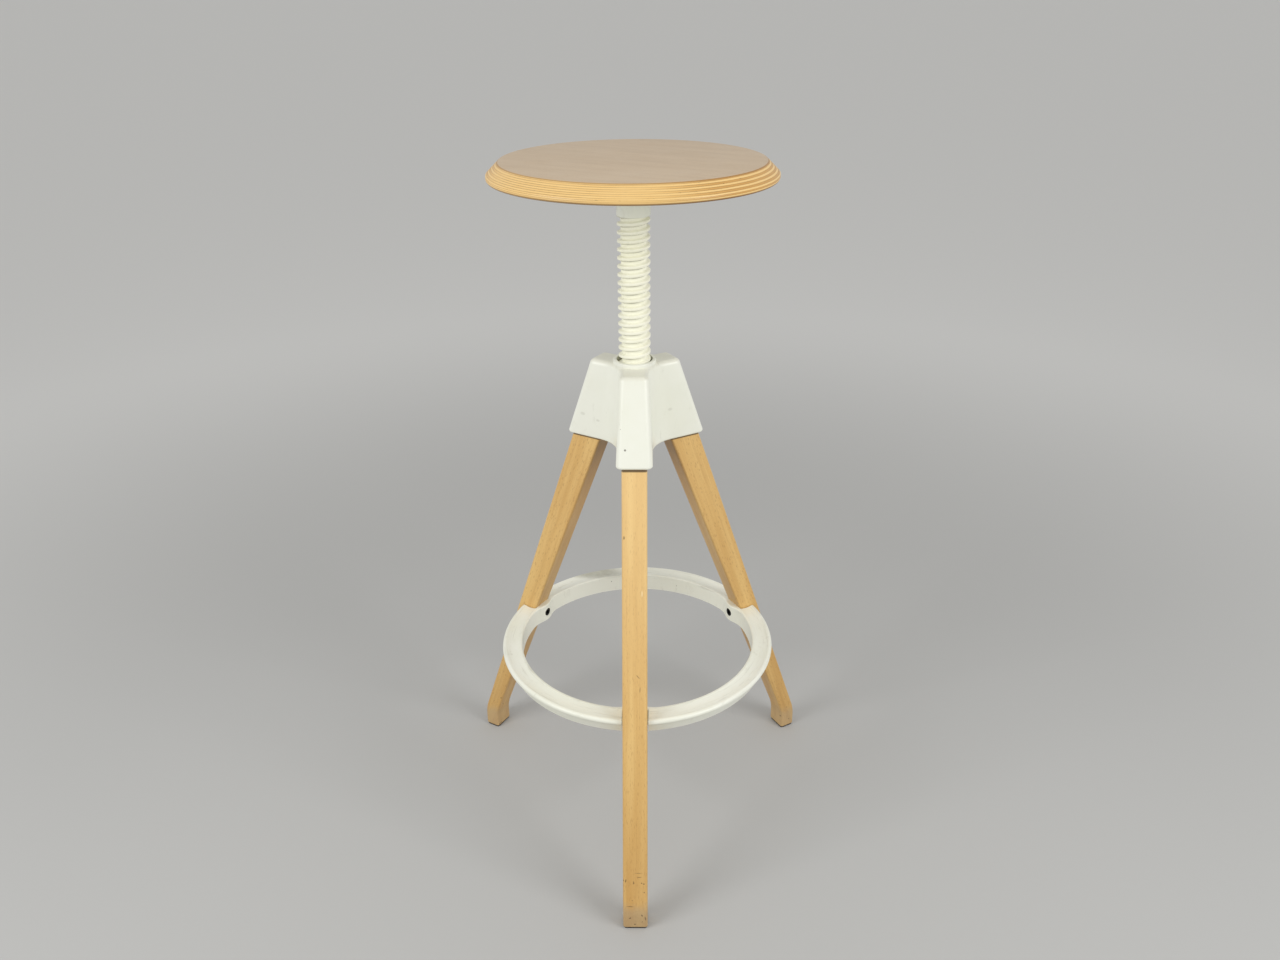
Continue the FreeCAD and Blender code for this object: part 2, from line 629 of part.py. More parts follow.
def make_plate_screws():
    """Round-headed wood screws with a slot, pointing up into the board."""
    seat_z = SEAT_BOTTOM_Z - PLATE_SEAT_THICK
    tip_z = SEAT_BOTTOM_Z + PLATE_SCREW_BITE
    screw = spun([
        (0, seat_z - PLATE_SCREW_HEAD_HEIGHT),
        (PLATE_SCREW_HEAD_R, seat_z - PLATE_SCREW_HEAD_HEIGHT),
        (PLATE_SCREW_HEAD_R, seat_z),
        (PLATE_SCREW_R, seat_z),
        (PLATE_SCREW_R, tip_z - PLATE_SCREW_TIP),
        (0, tip_z),
    ], {1: PLATE_SCREW_HEAD_ROUND})
    slot = Part.makeBox(2 * PLATE_SCREW_HEAD_R, DRIVE_SLOT, DRIVE_SLOT,
                        V(-PLATE_SCREW_HEAD_R, -DRIVE_SLOT / 2, seat_z - PLATE_SCREW_HEAD_HEIGHT))
    screw = screw.cut(slot)
    screw.translate(V(PLATE_SCREW_CIRCLE, 0, 0))
    return Part.Compound(around(screw, PLATE_SCREW_COUNT))


def ring_inner_outline():
    """The foot ring's inner edge in plan: a circle that swells inwards to a round boss at each leg."""
    boss_middle = BOSS_FACE_R + BOSS_ROUND
    blend_reach = RING_INNER_R - BOSS_BLEND
    boss_reach = BOSS_ROUND + BOSS_BLEND
    x = (boss_middle ** 2 + blend_reach ** 2 - boss_reach ** 2) / (2 * boss_middle)
    y = math.sqrt(blend_reach ** 2 - x ** 2)
    blend_middle = V(x, y, RING_BOTTOM_Z)
    boss_way = (V(boss_middle, 0, RING_BOTTOM_Z) - blend_middle).normalize()
    ring_way = V(x, y, 0).normalize()
    on_boss = blend_middle + boss_way * BOSS_BLEND
    on_ring = blend_middle + ring_way * BOSS_BLEND
    between = blend_middle + (boss_way + ring_way).normalize() * BOSS_BLEND
    face = V(BOSS_FACE_R, 0, RING_BOTTOM_Z)
    half_turn = math.radians(LEG_SPACING / 2)
    far = V(RING_INNER_R * math.cos(half_turn), RING_INNER_R * math.sin(half_turn), RING_BOTTOM_Z)

    def mirrored(p):
        return V(p.x, -p.y, p.z)

    next_leg = FreeCAD.Rotation(UP, LEG_SPACING).multVec(mirrored(on_ring))
    stretch = Part.Compound([
        arc(mirrored(on_ring), mirrored(between), mirrored(on_boss)),
        arc(mirrored(on_boss), face, on_boss),
        arc(on_boss, between, on_ring),
        arc(on_ring, far, next_leg),
    ])
    edges = []
    for turned_stretch in at_legs(stretch):
        edges += turned_stretch.Edges
    return Part.Wire(edges)


def leg_passage():
    """The room for a leg through the ring: flush with its inner face, with a slit on each side."""
    low = RING_BOTTOM_Z - RING_WALL
    high = RING_TOP_Z + RING_WALL
    outline = [
        (leg_inner(low), low),
        (leg_outer(low) + LEG_WIDTH, low),
        (leg_outer(low) + LEG_WIDTH, high),
        (leg_inner(high), high),
    ]
    return slab(outline, LEG_WIDTH / 2 + RING_LEG_SLIT)


def make_ring():
    """The foot ring: wall with bosses, hollow tread, bead, leaning skirt, and a passage for each leg."""
    wall = cylinder(RING_WALL_OUTER_R, V(0, 0, RING_BOTTOM_Z), UP, RING_WALL_HEIGHT)
    wall = wall.cut(Part.Face(ring_inner_outline()).extrude(V(0, 0, RING_WALL_HEIGHT)))
    rim = []
    for edge in wall.Edges:
        at = edge.Vertexes[0].Point
        on_top = edge.BoundBox.ZMin > RING_TOP_Z - NEAR
        on_inside = math.hypot(at.x, at.y) < RING_INNER_R + RING_WALL / 2
        if on_top and on_inside:
            rim.append(edge)
    wall = wall.makeFillet(RING_RIM_ROUND, rim)

    tread_inner_z = RING_TOP_Z - RING_RIM_STEP
    inside_r = RING_INNER_R + RING_WALL / 2
    bead_r = RING_OUTER_R - RING_BEAD_R
    bead_z = RING_TOP_Z - RING_BEAD_DROP - RING_BEAD_R
    skirt_inner_r = bead_r - RING_WALL
    skirt_low = bead_z - RING_BEAD_R - RING_SKIRT_HEIGHT

    def on_bead(degrees):
        turn = math.radians(degrees)
        return V(bead_r + RING_BEAD_R * math.cos(turn), 0, bead_z + RING_BEAD_R * math.sin(turn))

    edge_start = V(inside_r, 0, tread_inner_z)
    top_start = V(RING_WALL_OUTER_R, 0, tread_inner_z)
    top_end = on_bead(RING_BEAD_START)
    top_middle = (top_start + top_end) * 0.5 - V(0, 0, RING_DISH)
    skirt_outer = V(bead_r - RING_SKIRT_LEAN, 0, skirt_low)
    skirt_inner = V(skirt_inner_r - RING_SKIRT_LEAN, 0, skirt_low)
    under_end = V(skirt_inner_r, 0, bead_z - RING_WALL / 2)
    under_start = V(inside_r, 0, tread_inner_z - RING_WALL)
    under_middle = (under_start + under_end) * 0.5 - V(0, 0, RING_DISH)
    section = Part.Wire([
        line(edge_start, top_start),
        arc(top_start, top_middle, top_end),
        arc(top_end, on_bead(0), on_bead(-90)),
        line(on_bead(-90), skirt_outer),
        line(skirt_outer, skirt_inner),
        line(skirt_inner, under_end),
        arc(under_end, under_middle, under_start),
        line(under_start, edge_start),
    ])
    tread = Part.Face(section).revolve(ORIGIN, UP, 360)

    pad_start = BOSS_FACE_R + RING_WALL
    pad = slab([
        (pad_start, RING_BOTTOM_Z),
        (leg_inner(RING_BOTTOM_Z), RING_BOTTOM_Z),
        (leg_inner(RING_BOTTOM_Z), RING_TOP_Z - RING_RIM_STEP),
        (pad_start, RING_TOP_Z - RING_RIM_STEP),
    ], BOSS_PAD_HALF)
    ring = wall.fuse([tread] + at_legs(pad)).cut(at_legs(leg_passage()))
    shank_start = RING_BOLT_SEAT - RING_BOLT_WAY * OVERRUN
    shank = cylinder(SCREW_R + SHANK_CLEAR, shank_start, RING_BOLT_WAY, LEG_WIDTH)
    head_room = SCREW_HEAD_HEIGHT + RING_BOLT_SINK + HOLE_SPARE
    head = cylinder(SCREW_HEAD_R + HEAD_CLEAR, RING_BOLT_SEAT, -RING_BOLT_WAY, head_room)
    return ring.cut(at_legs(shank) + at_legs(head))


def make_leg_screw():
    """A screw from inside the hub that reaches the end of the insert in its leg."""
    shank = LEG_SCREW_SEAT + INSERT_SINK + INSERT_LENGTH
    return socket_screw(LEG_SCREW_HEAD_SEAT, LEG_SCREW_WAY, shank)


def make_ring_bolt():
    """A bolt through a boss of the foot ring that reaches the end of the insert in its leg."""
    shank = RING_INSERT_AT.x + INSERT_LENGTH - RING_BOLT_SEAT.x
    return socket_screw(RING_BOLT_SEAT, RING_BOLT_WAY, shank)


os.makedirs("parts", exist_ok=True)

pieces = {
    "seat_board": make_seat_board(),
    "seat_plate": make_seat_plate(),
    "seat_plate_screws": make_plate_screws(),
    "screw_post": make_post(),
    "post_cross_pin": cross_pin(),
    "post_end_plug": make_end_plug(),
    "stop_washer": make_stop_washer(),
    "stop_screw": make_stop_screw(),
    "hub_casting": make_hub(),
    "thread_bush": make_bush(),
    "bush_lock_screws": make_lock_screws(),
    "foot_ring": make_ring(),
}
per_leg = {
    "leg": make_leg(),
    "leg_screw": make_leg_screw(),
    "leg_insert": insert_ring(LEG_INSERT_AT, LEG_SCREW_WAY),
    "ring_bolt": make_ring_bolt(),
    "ring_insert": insert_ring(RING_INSERT_AT, RING_BOLT_WAY),
    "foot_glide": make_glide(),
}
for leg_name, angle in LEGS.items():
    for piece_name, piece in per_leg.items():
        pieces[piece_name + "_" + leg_name] = turned(piece, angle)

for name, shape in pieces.items():
    shape.exportStep("parts/" + name + ".step")
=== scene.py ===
import bpy
import math
import numpy as np
from mathutils import Matrix


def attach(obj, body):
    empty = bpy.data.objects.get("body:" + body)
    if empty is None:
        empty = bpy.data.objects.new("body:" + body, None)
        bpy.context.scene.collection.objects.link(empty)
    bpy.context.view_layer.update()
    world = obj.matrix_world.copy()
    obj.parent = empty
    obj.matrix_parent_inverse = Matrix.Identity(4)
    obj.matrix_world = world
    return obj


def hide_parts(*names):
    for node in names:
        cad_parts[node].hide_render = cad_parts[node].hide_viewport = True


# A tripod bar stool: plywood seat on a coarse screw, cast hub and foot ring, beech legs.
# Shapes are worked out in millimetres in the part's own frame, and meshes are in metres.
# A pair of places says where a change of finish starts and where it is full.

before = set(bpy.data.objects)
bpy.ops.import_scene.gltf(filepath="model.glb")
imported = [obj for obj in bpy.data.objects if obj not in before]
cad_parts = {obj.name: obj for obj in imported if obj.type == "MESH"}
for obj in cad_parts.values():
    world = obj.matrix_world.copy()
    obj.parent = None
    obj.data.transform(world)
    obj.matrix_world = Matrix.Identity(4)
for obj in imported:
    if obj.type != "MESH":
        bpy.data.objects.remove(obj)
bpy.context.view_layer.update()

MM = 0.001
TURN = 2 * math.pi

# A turned piece starts this far from its axis
POLE_R = 0.5

# Seat board: the plies' wander and the glue lines' reach are shares of a ply
SEAT_R = 150.0
SEAT_LOW = 798.0
SEAT_TOP = 816.0
BEVEL_WIDTH = 13.0
BEVEL_HEIGHT = 12.5
SEAT_LOW_ROUND = 2.5
SEAT_EDGE_ROUND = 1.5
SEAT_COLUMNS = 288
RIM_GAP = 0.3
FLAT_GAP = 12.0
PLY_COUNT = 11
PLY_THICK = (SEAT_TOP - SEAT_LOW) / PLY_COUNT
PLY_RELIEF = 0.09
PLY_WANDER = 0.25
GLUE_REACH = 0.14
VENEER_TURN = math.radians(-28)
# Heights of the painted shade along the seat's rounded lower edge
LOW_RIM_SHADE = (SEAT_LOW + 3.2, SEAT_LOW + 0.6)
TOP_EDGE_LINE = (SEAT_TOP - 1.3, SEAT_TOP - 0.8)
VENEER_EDGE = (SEAT_TOP - 0.30, SEAT_TOP - 0.04)

# Screw post
CORE_R = 13.9
POST_LOW = 515.65
COLLAR_Z = 759.0
SPIGOT_R = 12.9
SPIGOT_TOP = 791.0
POST_BORE_R = 8.0
POST_BORE_TOP = 744.0
PITCH = 9.0
RIDGE_FRONT_Z = 644.7
RIDGE_HEIGHT = 3.8
RIDGE_REACH = 2.25
RIDGE_POWER = 5.0
CREASE_DROP = 2.7
CREASE_REACH = 0.6
THREAD_ROW = 0.25
POST_COLUMNS = 80
POST_SHARP_EDGE = math.radians(60)

# Hub
HUB_LOW = 503.0
HUB_TOP = 597.5
# Painted shade under the seat on the hub's top, tinted as a painted reflection of the seat: heights where
# it comes in and goes out
HUB_TOP_SHADE_LOW = (HUB_TOP - 5.0, HUB_TOP - 1.0)
HUB_TOP_SHADE_HIGH = (HUB_TOP + 1.2, HUB_TOP + 0.4)
CAST_SHARP_EDGE = math.radians(38)

# Foot ring
RING_R = 157.0
RING_TOP = 233.5
TREAD_RUB_LOW = (RING_TOP - 6.0, RING_TOP - 3.0)
TREAD_RUB_HIGH = (RING_TOP + 12.0, RING_TOP + 2.0)

# Legs
LEG_TURNS = {"front": -90.0, "right": 30.0, "left": 150.0}
LEG_HALF = 14.0
LEG_ROUND = 2.5
LEG_TOP = 586.0
LEG_TOP_OUTER = 46.4
LEG_TOP_INNER = 5.25
TONGUE_INNER = 27.5
FOOT_OUTER = 249.5
FOOT_INNER = 229.0
FOOT_BEND_Z = 28.0
FOOT_BEND_ROUND = 60.0
FOOT_LOW = 2.0
FOOT_EDGE = 1.2
LEG_SLOPE = (FOOT_OUTER - LEG_TOP_OUTER) / (LEG_TOP - FOOT_BEND_Z)
LEG_STRETCH = math.hypot(1, LEG_SLOPE)
LEG_FACE_DEPTH = FOOT_OUTER + FOOT_BEND_Z * LEG_SLOPE
LEG_SHARP_EDGE = math.radians(50)

# Rows and columns of points on a leg: round the foot's lower edge, up the foot, up the leg, on the tongue
FOOT_EDGE_ROWS = 5
FOOT_ROWS = 25
FOOT_ROWS_LOW = FOOT_LOW + FOOT_EDGE + 1.0
FOOT_ROWS_TOP = 44.0
LEG_ROWS = 60
LEG_ROWS_LOW = 50.0
TONGUE_ROWS = 5
TONGUE_ROWS_RISE = 2.0
CORNER_POINTS = 7
SIDE_POINTS = 6

# Each leg is cut from another place in the timber: the shift across, in depth and along the grain
GRAIN_SHIFT = np.array([170.0, 119.0, 510.0])

# Places across the grain that part the front leg, which isn't shifted, from the other two
FRONT_LEG_GRAIN = (80.0, 30.0)

# Heights at which the legs' finish changes
# The legs are paler towards the top, most on the front leg, and darker towards the foot
LEG_PALER_HIGH = (100.0, 520.0)
LEG_DARKER_LOW = (300.0, 20.0)
# Heights over which painted shade comes onto the legs' inner sides, and over which it deepens towards the
# hub
INNER_SHADE_START = (30.0, 120.0)
INNER_SHADE_DEEPENING = (360.0, 490.0)
# Heights of the painted shadow line on the legs just under the hub's bottom edge
HUB_MOUTH_SHADOW = (HUB_LOW - 4.3, HUB_LOW - 3.3)
FOOT_GRIME = (40.0, 24.0)
FOOT_GRIME_WANDER = 20.0
FOOT_KNOCKS = (140.0, 20.0)

# A mark on a leg's outer face reaches this far in depth, and its strong middle is this share of its reach
MARK_DEPTH = 12.0
MARK_MIDDLE = 0.45

# Knocks on the front leg: across, height, half width, half length, lean in degrees, darkness
LEG_MARKS = [
    (3.6, 285.0, 0.7, 3.4, -40, 0.65),
    (5.8, 271.0, 1.2, 4.0, 8, 0.30),
    (-11.4, 431.5, 1.3, 2.4, 0, 0.70),
    (3.5, 70.5, 5.5, 0.5, 4, 0.60),
    (4.5, 66.0, 3.6, 0.5, -6, 0.70),
    (-10.8, 62.0, 0.9, 2.6, 10, 0.75),
    (7.2, 59.5, 1.0, 0.9, 0, 0.80),
    (9.8, 58.6, 1.1, 1.0, 0, 0.85),
    (-6.0, 33.0, 5.5, 0.7, 3, 0.60),
    (7.6, 21.0, 0.9, 2.4, -15, 0.90),
    (7.8, 11.0, 0.8, 2.0, 20, 0.85),
    (11.5, 16.0, 0.9, 5.0, -8, 0.70),
]

# A pale spot on the front leg: across, height, half width, half length
PALE_SPOT = (8.2, 373.0, 1.0, 4.5)

# Grey scuffs on the hub and painted shade on the back of the ring's tread: place, reach each way and
# strength
ENAMEL_SCUFFS_AND_SHADE = [
    ((-60.4, 14.1, 530.7), (4.0, 6.0, 2.6), 0.22),
    ((-42.7, 3.9, 526.2), (3.0, 6.0, 2.0), 0.22),
    ((39.5, 2.0, 540.5), (3.6, 6.0, 2.4), 0.20),
    # painted shade on the back-left of the ring's tread
    ((-62.0, 152.0, 235.0), (64.0, 20.0, 8.0), 0.60),
]

# Chips in the enamel of the hub and the ring: place and reach
ENAMEL_CHIPS = [
    ((-9.8, -75.4, 524.2), 1.5),
    ((-15.1, -68.1, 545.4), 1.3),
    ((103.5, 94.2, 224.0), 1.6),
    ((104.0, 93.6, 219.0), 1.2),
    ((-38.0, 139.4, 226.0), 0.9),
    ((52.0, 134.8, 222.0), 0.8),
]

# How deep the fine relief of each finish is
WOOD_RELIEF = 0.06
CAST_RELIEF = 0.03
METAL_RELIEF = 0.02
PLASTIC_RELIEF = 0.04

# Meshes are joined where points fall on the same step: this many steps in a metre
JOIN_STEPS = 1e6


def tone(red, green, blue):
    """A colour named from 0 to 255 as a screen shows it, in linear light with full cover: the standard
    screen curve, straight near black and a power above that."""
    shown = np.array([red, green, blue]) / 255
    linear = np.where(shown <= 0.04045, shown / 12.92, ((shown + 0.055) / 1.055) ** 2.4)
    return (*linear.tolist(), 1.0)


# Colours of the plywood
PALE_PLY = (tone(230, 188, 114), tone(245, 211, 146))
BROWN_PLY = (tone(190, 138, 66), tone(217, 171, 97))
PLY_PORE = tone(142, 94, 44)
GLUE_LINE = tone(126, 78, 34)
GLUE_PIT = tone(84, 52, 26)
RIM_SHADE = tone(104, 66, 38)
EDGE_LINE = tone(138, 94, 48)
VENEER = (tone(203, 177, 143), tone(210, 185, 152))
VENEER_STREAK = tone(172, 146, 114)
VENEER_RAY = tone(156, 126, 92)
VENEER_CLOUD = tone(219, 198, 169)

# Colours of the beech
BEECH = (tone(216, 171, 99), tone(232, 193, 122))
BEECH_STREAK = tone(196, 148, 82)
BEECH_RAY = tone(164, 114, 58)
BEECH_FINE_RAY = tone(172, 122, 64)
BEECH_PALER_HIGH = tone(255, 224, 166)
BEECH_DARKER_LOW = tone(176, 126, 62)
BEECH_INNER_SHADE = tone(122, 80, 44)
BEECH_SHADOW_LINE = tone(58, 40, 24)
BEECH_PALE_SPOT = tone(250, 228, 180)
BEECH_GRIME = tone(178, 164, 140)
BEECH_KNOCK = tone(78, 52, 26)

# Colours of the enamel
CAST_WHITE = (tone(241, 242, 230), tone(237, 238, 223))
CAST_SCUFF = tone(186, 184, 166)
CAST_RUBBED = tone(178, 176, 158)
CAST_TOP_SHADE = tone(196, 188, 162)
CAST_GREY = tone(150, 148, 130)
CAST_CHIP = tone(70, 62, 50)
SCREW_CREAM = (tone(250, 249, 230), tone(246, 245, 222))
SCREW_GREASE_AND_SHADE = tone(100, 92, 66)


def rounded_run(corners, rounds, steps=9):
    """A line of straight runs with its named corners rounded: each is replaced by an arc that touches
    both of its runs, with points at even steps about the arc's middle."""
    line = [corners[0]]
    for i in range(1, len(corners) - 1):
        at = np.array(corners[i], float)
        if i not in rounds:
            line.append(tuple(at))
            continue
        back = np.array(corners[i - 1]) - at
        ahead = np.array(corners[i + 1]) - at
        back = back / np.linalg.norm(back)
        ahead = ahead / np.linalg.norm(ahead)
        half = math.acos(np.clip(back @ ahead, -1, 1)) / 2
        start = at + back * rounds[i] / math.tan(half)
        end = at + ahead * rounds[i] / math.tan(half)
        middle = at + (back + ahead) / np.linalg.norm(back + ahead) * rounds[i] / math.sin(half)
        share = np.linspace(0, 1, steps)[:, None]
        spoke = (start - middle) * (1 - share) + (end - middle) * share
        spoke *= rounds[i] / np.linalg.norm(spoke, axis=1, keepdims=True)
        line.extend(map(tuple, middle + spoke))
    line.append(corners[-1])
    return np.array(line, float)


def filled_run(line, gap):
    """The points of a line, with more put between them so that none are further apart than the gap."""
    along = np.concatenate([[0], np.cumsum(np.linalg.norm(np.diff(line, axis=0), axis=1))])
    even = np.linspace(0, along[-1], int(along[-1] / gap) + 1)
    steps = np.unique(np.round(np.concatenate([along, even]), 6))
    return np.stack([np.interp(steps, along, line[:, k]) for k in range(line.shape[1])], axis=1)


def skin(name, rows):
    """A closed mesh over rows of points: each row goes once round the piece, neighbouring rows are joined
    by four-sided faces, and a fan onto their middle point closes the first and the last row."""
    count, around = rows.shape[:2]
    here = np.arange(count * around).reshape(count, around)
    beside = np.roll(here, -1, axis=1)
    quads = np.stack([here[:-1], beside[:-1], beside[1:], here[1:]], axis=-1).reshape(-1, 4)
    first_middle = np.full(around, count * around)
    first_fan = np.stack([beside[0], here[0], first_middle], axis=-1)
    last_fan = np.stack([here[-1], beside[-1], first_middle + 1], axis=-1)
    points = np.concatenate([rows.reshape(-1, 3), rows[:1].mean(axis=1), rows[-1:].mean(axis=1)])
    mesh = bpy.data.meshes.new(name)
    mesh.from_pydata((points * MM).tolist(), [], quads.tolist() + first_fan.tolist() + last_fan.tolist())
    return placed_piece(name, mesh), points


def placed_piece(name, mesh):
    """A smooth-shaded mesh as an object of the scene."""
    mesh.shade_smooth()
    piece = bpy.data.objects.new(name, mesh)
    bpy.context.scene.collection.objects.link(piece)
    return piece


def turned_rows(line, columns):
    """Rows of a turned piece: each point of the line, a radius and a height, goes round the axis."""
    angle = np.arange(columns) * TURN / columns
    radius = np.repeat(line[:, :1], columns, axis=1)
    height = np.repeat(line[:, 1:], columns, axis=1)
    return np.stack([radius * np.cos(angle), radius * np.sin(angle), height], axis=-1)


def keep_with(piece, body, node, finish):
    """A finished piece rides on its body, takes its finish and stands for its CAD node, which is hidden.
    """
    piece.data.materials.append(finish)
    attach(piece, body)
    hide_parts(node)


def mark_points(piece, name, values):
    """Puts a number or a vector on each point of a piece, for its finish to read."""
    kind = "FLOAT" if values.ndim == 1 else "FLOAT_VECTOR"
    field = "value" if values.ndim == 1 else "vector"
    mark = piece.data.attributes.new(name, kind, "POINT")
    mark.data.foreach_set(field, values.astype(np.float32).ravel())


class Finish:
    """A material being mixed: each call adds shader nodes and gives back their output."""

    def __init__(self, name):
        """A new material with nothing in it."""
        self.material = bpy.data.materials.new(name)
        self.material.use_nodes = True
        self.tree = self.material.node_tree
        self.tree.nodes.clear()

    def add(self, kind, inputs, output=0, **settings):
        """One node of a kind: each input is joined to another output or set to a value."""
        node = self.tree.nodes.new("ShaderNode" + kind)
        for key, value in settings.items():
            setattr(node, key, value)
        for key, value in inputs.items():
            self.give(node.inputs[key], value)
        return node.outputs[output]

    def give(self, socket, value):
        """Joins an input to another output, or sets it to a value."""
        if isinstance(value, bpy.types.NodeSocket):
            self.tree.links.new(value, socket)
        else:
            socket.default_value = value

    def math(self, operation, *values):
        """One sum on values."""
        return self.add("Math", dict(enumerate(values)), operation=operation)

    def times(self, *values):
        """The product of several values."""
        product = values[0]
        for value in values[1:]:
            product = self.math("MULTIPLY", product, value)
        return product

    def lifted(self, base, value, gain):
        """A base, and a gain times a value on top of it."""
        return self.math("ADD", base, self.times(value, gain))

    def most(self, values):
        """The greatest of several values."""
        greatest = values[0]
        for value in values[1:]:
            greatest = self.math("MAXIMUM", greatest, value)
        return greatest

    def step(self, value, low, high):
        """0 at one value, 1 at another, and a smooth rise between them."""
        return self.add("MapRange", {"Value": value, "From Min": low, "From Max": high},
                        interpolation_type="SMOOTHSTEP")

    def between(self, place, ends):
        """The same for a place in metres, between two ends in millimetres."""
        return self.step(place, ends[0] * MM, ends[1] * MM)

    def patches(self, value, low, high, strength):
        """Patches of a strength, where a value passes from one level to another."""
        return self.times(self.step(value, low, high), strength)

    def object_place(self):
        """The place on the part, in metres."""
        return self.add("TexCoord", {}, output="Object")

    def marked(self, name, output="Fac"):
        """What mark_points put on the piece."""
        return self.add("Attribute", {}, output=output, attribute_name=name)

    def parts(self, vector):
        """The three parts of a vector."""
        node = self.tree.nodes.new("ShaderNodeSeparateXYZ")
        self.tree.links.new(vector, node.inputs[0])
        return node.outputs

    def unrolled_place(self, radius):
        """A round piece laid flat: the way round it from the front, the radius and the height."""
        x, y, z = self.parts(self.object_place())
        turn = self.math("ARCTAN2", x, self.math("MULTIPLY", y, -1.0))
        away = self.math("SQRT", self.math("ADD", self.times(x, x), self.times(y, y)))
        return self.add("CombineXYZ", {0: self.times(turn, radius * MM), 1: away, 2: z})

    def stretched(self, at, scale, turn=0.0):
        """A place turned about the upright and scaled each way."""
        return self.add("Mapping", {"Vector": at, "Scale": scale, "Rotation": (0, 0, turn)})

    def noise(self, at, scale, detail=2.0, roughness=0.5):
        """Soft noise: so many waves in a unit, with finer waves on top of a share of the strength."""
        return self.add("TexNoise", {"Vector": at, "Scale": scale, "Detail": detail,
                                     "Roughness": roughness})

    def grain(self, at, waves, detail, roughness=0.5):
        """Soft noise with its own count of waves in a metre each way."""
        return self.noise(self.stretched(at, waves), 1.0, detail, roughness)

    def flecks(self, at, count):
        """The way to the nearest of scattered points, with their count in a metre each way."""
        return self.add("TexVoronoi", {"Vector": self.stretched(at, count), "Scale": 1.0,
                                       "Randomness": 1.0}, output="Distance")

    def mix(self, share, first, second):
        """A share of the second colour in the first."""
        return self.add("Mix", {0: share, 6: first, 7: second}, output=2, data_type="RGBA")

    def mark(self, at, point, reach, lean=0.0):
        """1 in the middle of a small oval mark at a point, falling to 0 at its reach each way."""
        local = self.add("Mapping", {"Vector": at, "Location": [c * MM for c in point],
                                     "Rotation": (0, lean, 0), "Scale": [c * MM for c in reach]},
                         vector_type="TEXTURE")
        away = self.add("VectorMath", {0: local}, output="Value", operation="LENGTH")
        return self.step(away, 1.0, MARK_MIDDLE)

    def done(self, bump=None, relief=0.0, **surface):
        """The material, from its surface's colour and gloss and a fine relief in millimetres."""
        node = self.tree.nodes.new("ShaderNodeBsdfPrincipled")
        for key, value in surface.items():
            self.give(node.inputs[key.replace("_", " ")], value)
        if bump is not None:
            normal = self.add("Bump", {"Height": bump, "Distance": relief * MM, "Strength": 1.0})
            self.tree.links.new(normal, node.inputs["Normal"])
        out = self.tree.nodes.new("ShaderNodeOutputMaterial")
        self.tree.links.new(node.outputs[0], out.inputs["Surface"])
        return self.material


def lacquered_plywood():
    """Birch plywood: plies that show end grain or long grain on the bevel, by the side they are seen from,
    with dark glue lines and pits, under a fine-grained taupe top veneer."""
    f = Finish("lacquered_plywood")
    at = f.object_place()
    z = f.parts(at)[2]
    veneer_at = f.stretched(at, (1, 1, 1), -VENEER_TURN)
    flat = f.unrolled_place(SEAT_R)
    away = f.math("MAXIMUM", f.parts(flat)[1], MM)
    facing = f.math("DIVIDE", f.parts(veneer_at)[0], away)
    end_share = f.times(facing, facing)

    wander = f.math("SUBTRACT", f.noise(f.stretched(at, (1, 1, 3)), 22.0), 0.5)
    level = f.math("DIVIDE", f.math("SUBTRACT", z, SEAT_LOW * MM), PLY_THICK * MM)
    level = f.lifted(level, wander, PLY_WANDER)
    odd = f.math("MODULO", f.math("FLOOR", level), 2.0)
    cross_share = f.times(f.math("SUBTRACT", 1.0, end_share), 0.3)
    end_grain = f.add("Mix", {0: odd, 2: end_share, 3: cross_share}, data_type="FLOAT")
    glue = f.step(f.math("PINGPONG", level, 0.5), 0.13, 0.03)

    strands = f.grain(flat, (70, 70, 2200), 4.0, 0.6)
    pores = f.grain(flat, (900, 900, 1500), 3.0, 0.6)
    patchy = f.step(f.grain(flat, (16, 16, 60), 3.0), 0.36, 0.66)
    pits = f.step(f.grain(flat, (150, 150, 420), 2.0), 0.66, 0.72)
    pale = f.mix(strands, *PALE_PLY)
    brown = f.mix(strands, *BROWN_PLY)
    edge = f.mix(f.step(end_grain, 0.1, 0.9), pale, brown)
    edge = f.mix(f.patches(pores, 0.55, 0.75, f.lifted(0.12, end_grain, 0.35)), edge, PLY_PORE)
    edge = f.mix(f.times(glue, f.lifted(0.42, patchy, 0.45)), edge, GLUE_LINE)
    edge = f.mix(f.times(pits, f.step(glue, 0.0, 0.4), 0.75), edge, GLUE_PIT)
    # painted shade along the seat's rounded lower edge
    edge = f.mix(f.times(f.between(z, LOW_RIM_SHADE), 0.75), edge, RIM_SHADE)
    edge = f.mix(f.times(f.between(z, TOP_EDGE_LINE), 0.62), edge, EDGE_LINE)

    bands = f.grain(veneer_at, (5, 60, 1), 4.0, 0.6)
    streaks = f.grain(veneer_at, (24, 500, 1), 4.0, 0.65)
    rays = f.flecks(veneer_at, (130, 800, 1))
    cloudy = f.noise(at, 8.0, 3.0)
    veneer = f.mix(f.step(bands, 0.3, 0.7), *VENEER)
    veneer = f.mix(f.patches(streaks, 0.48, 0.72, 0.28), veneer, VENEER_STREAK)
    veneer = f.mix(f.patches(rays, 0.32, 0.1, 0.25), veneer, VENEER_RAY)
    veneer = f.mix(f.patches(cloudy, 0.42, 0.75, 0.35), veneer, VENEER_CLOUD)
    colour = f.mix(f.between(z, VENEER_EDGE), edge, veneer)

    bump = f.math("ADD", f.times(strands, 0.5), f.times(streaks, 0.5))
    rough = f.lifted(0.32, f.noise(at, 40.0, 3.0), 0.14)
    return f.done(bump, WOOD_RELIEF, Base_Color=colour, Roughness=rough, Coat_Weight=0.2,
                  Coat_Roughness=0.25)


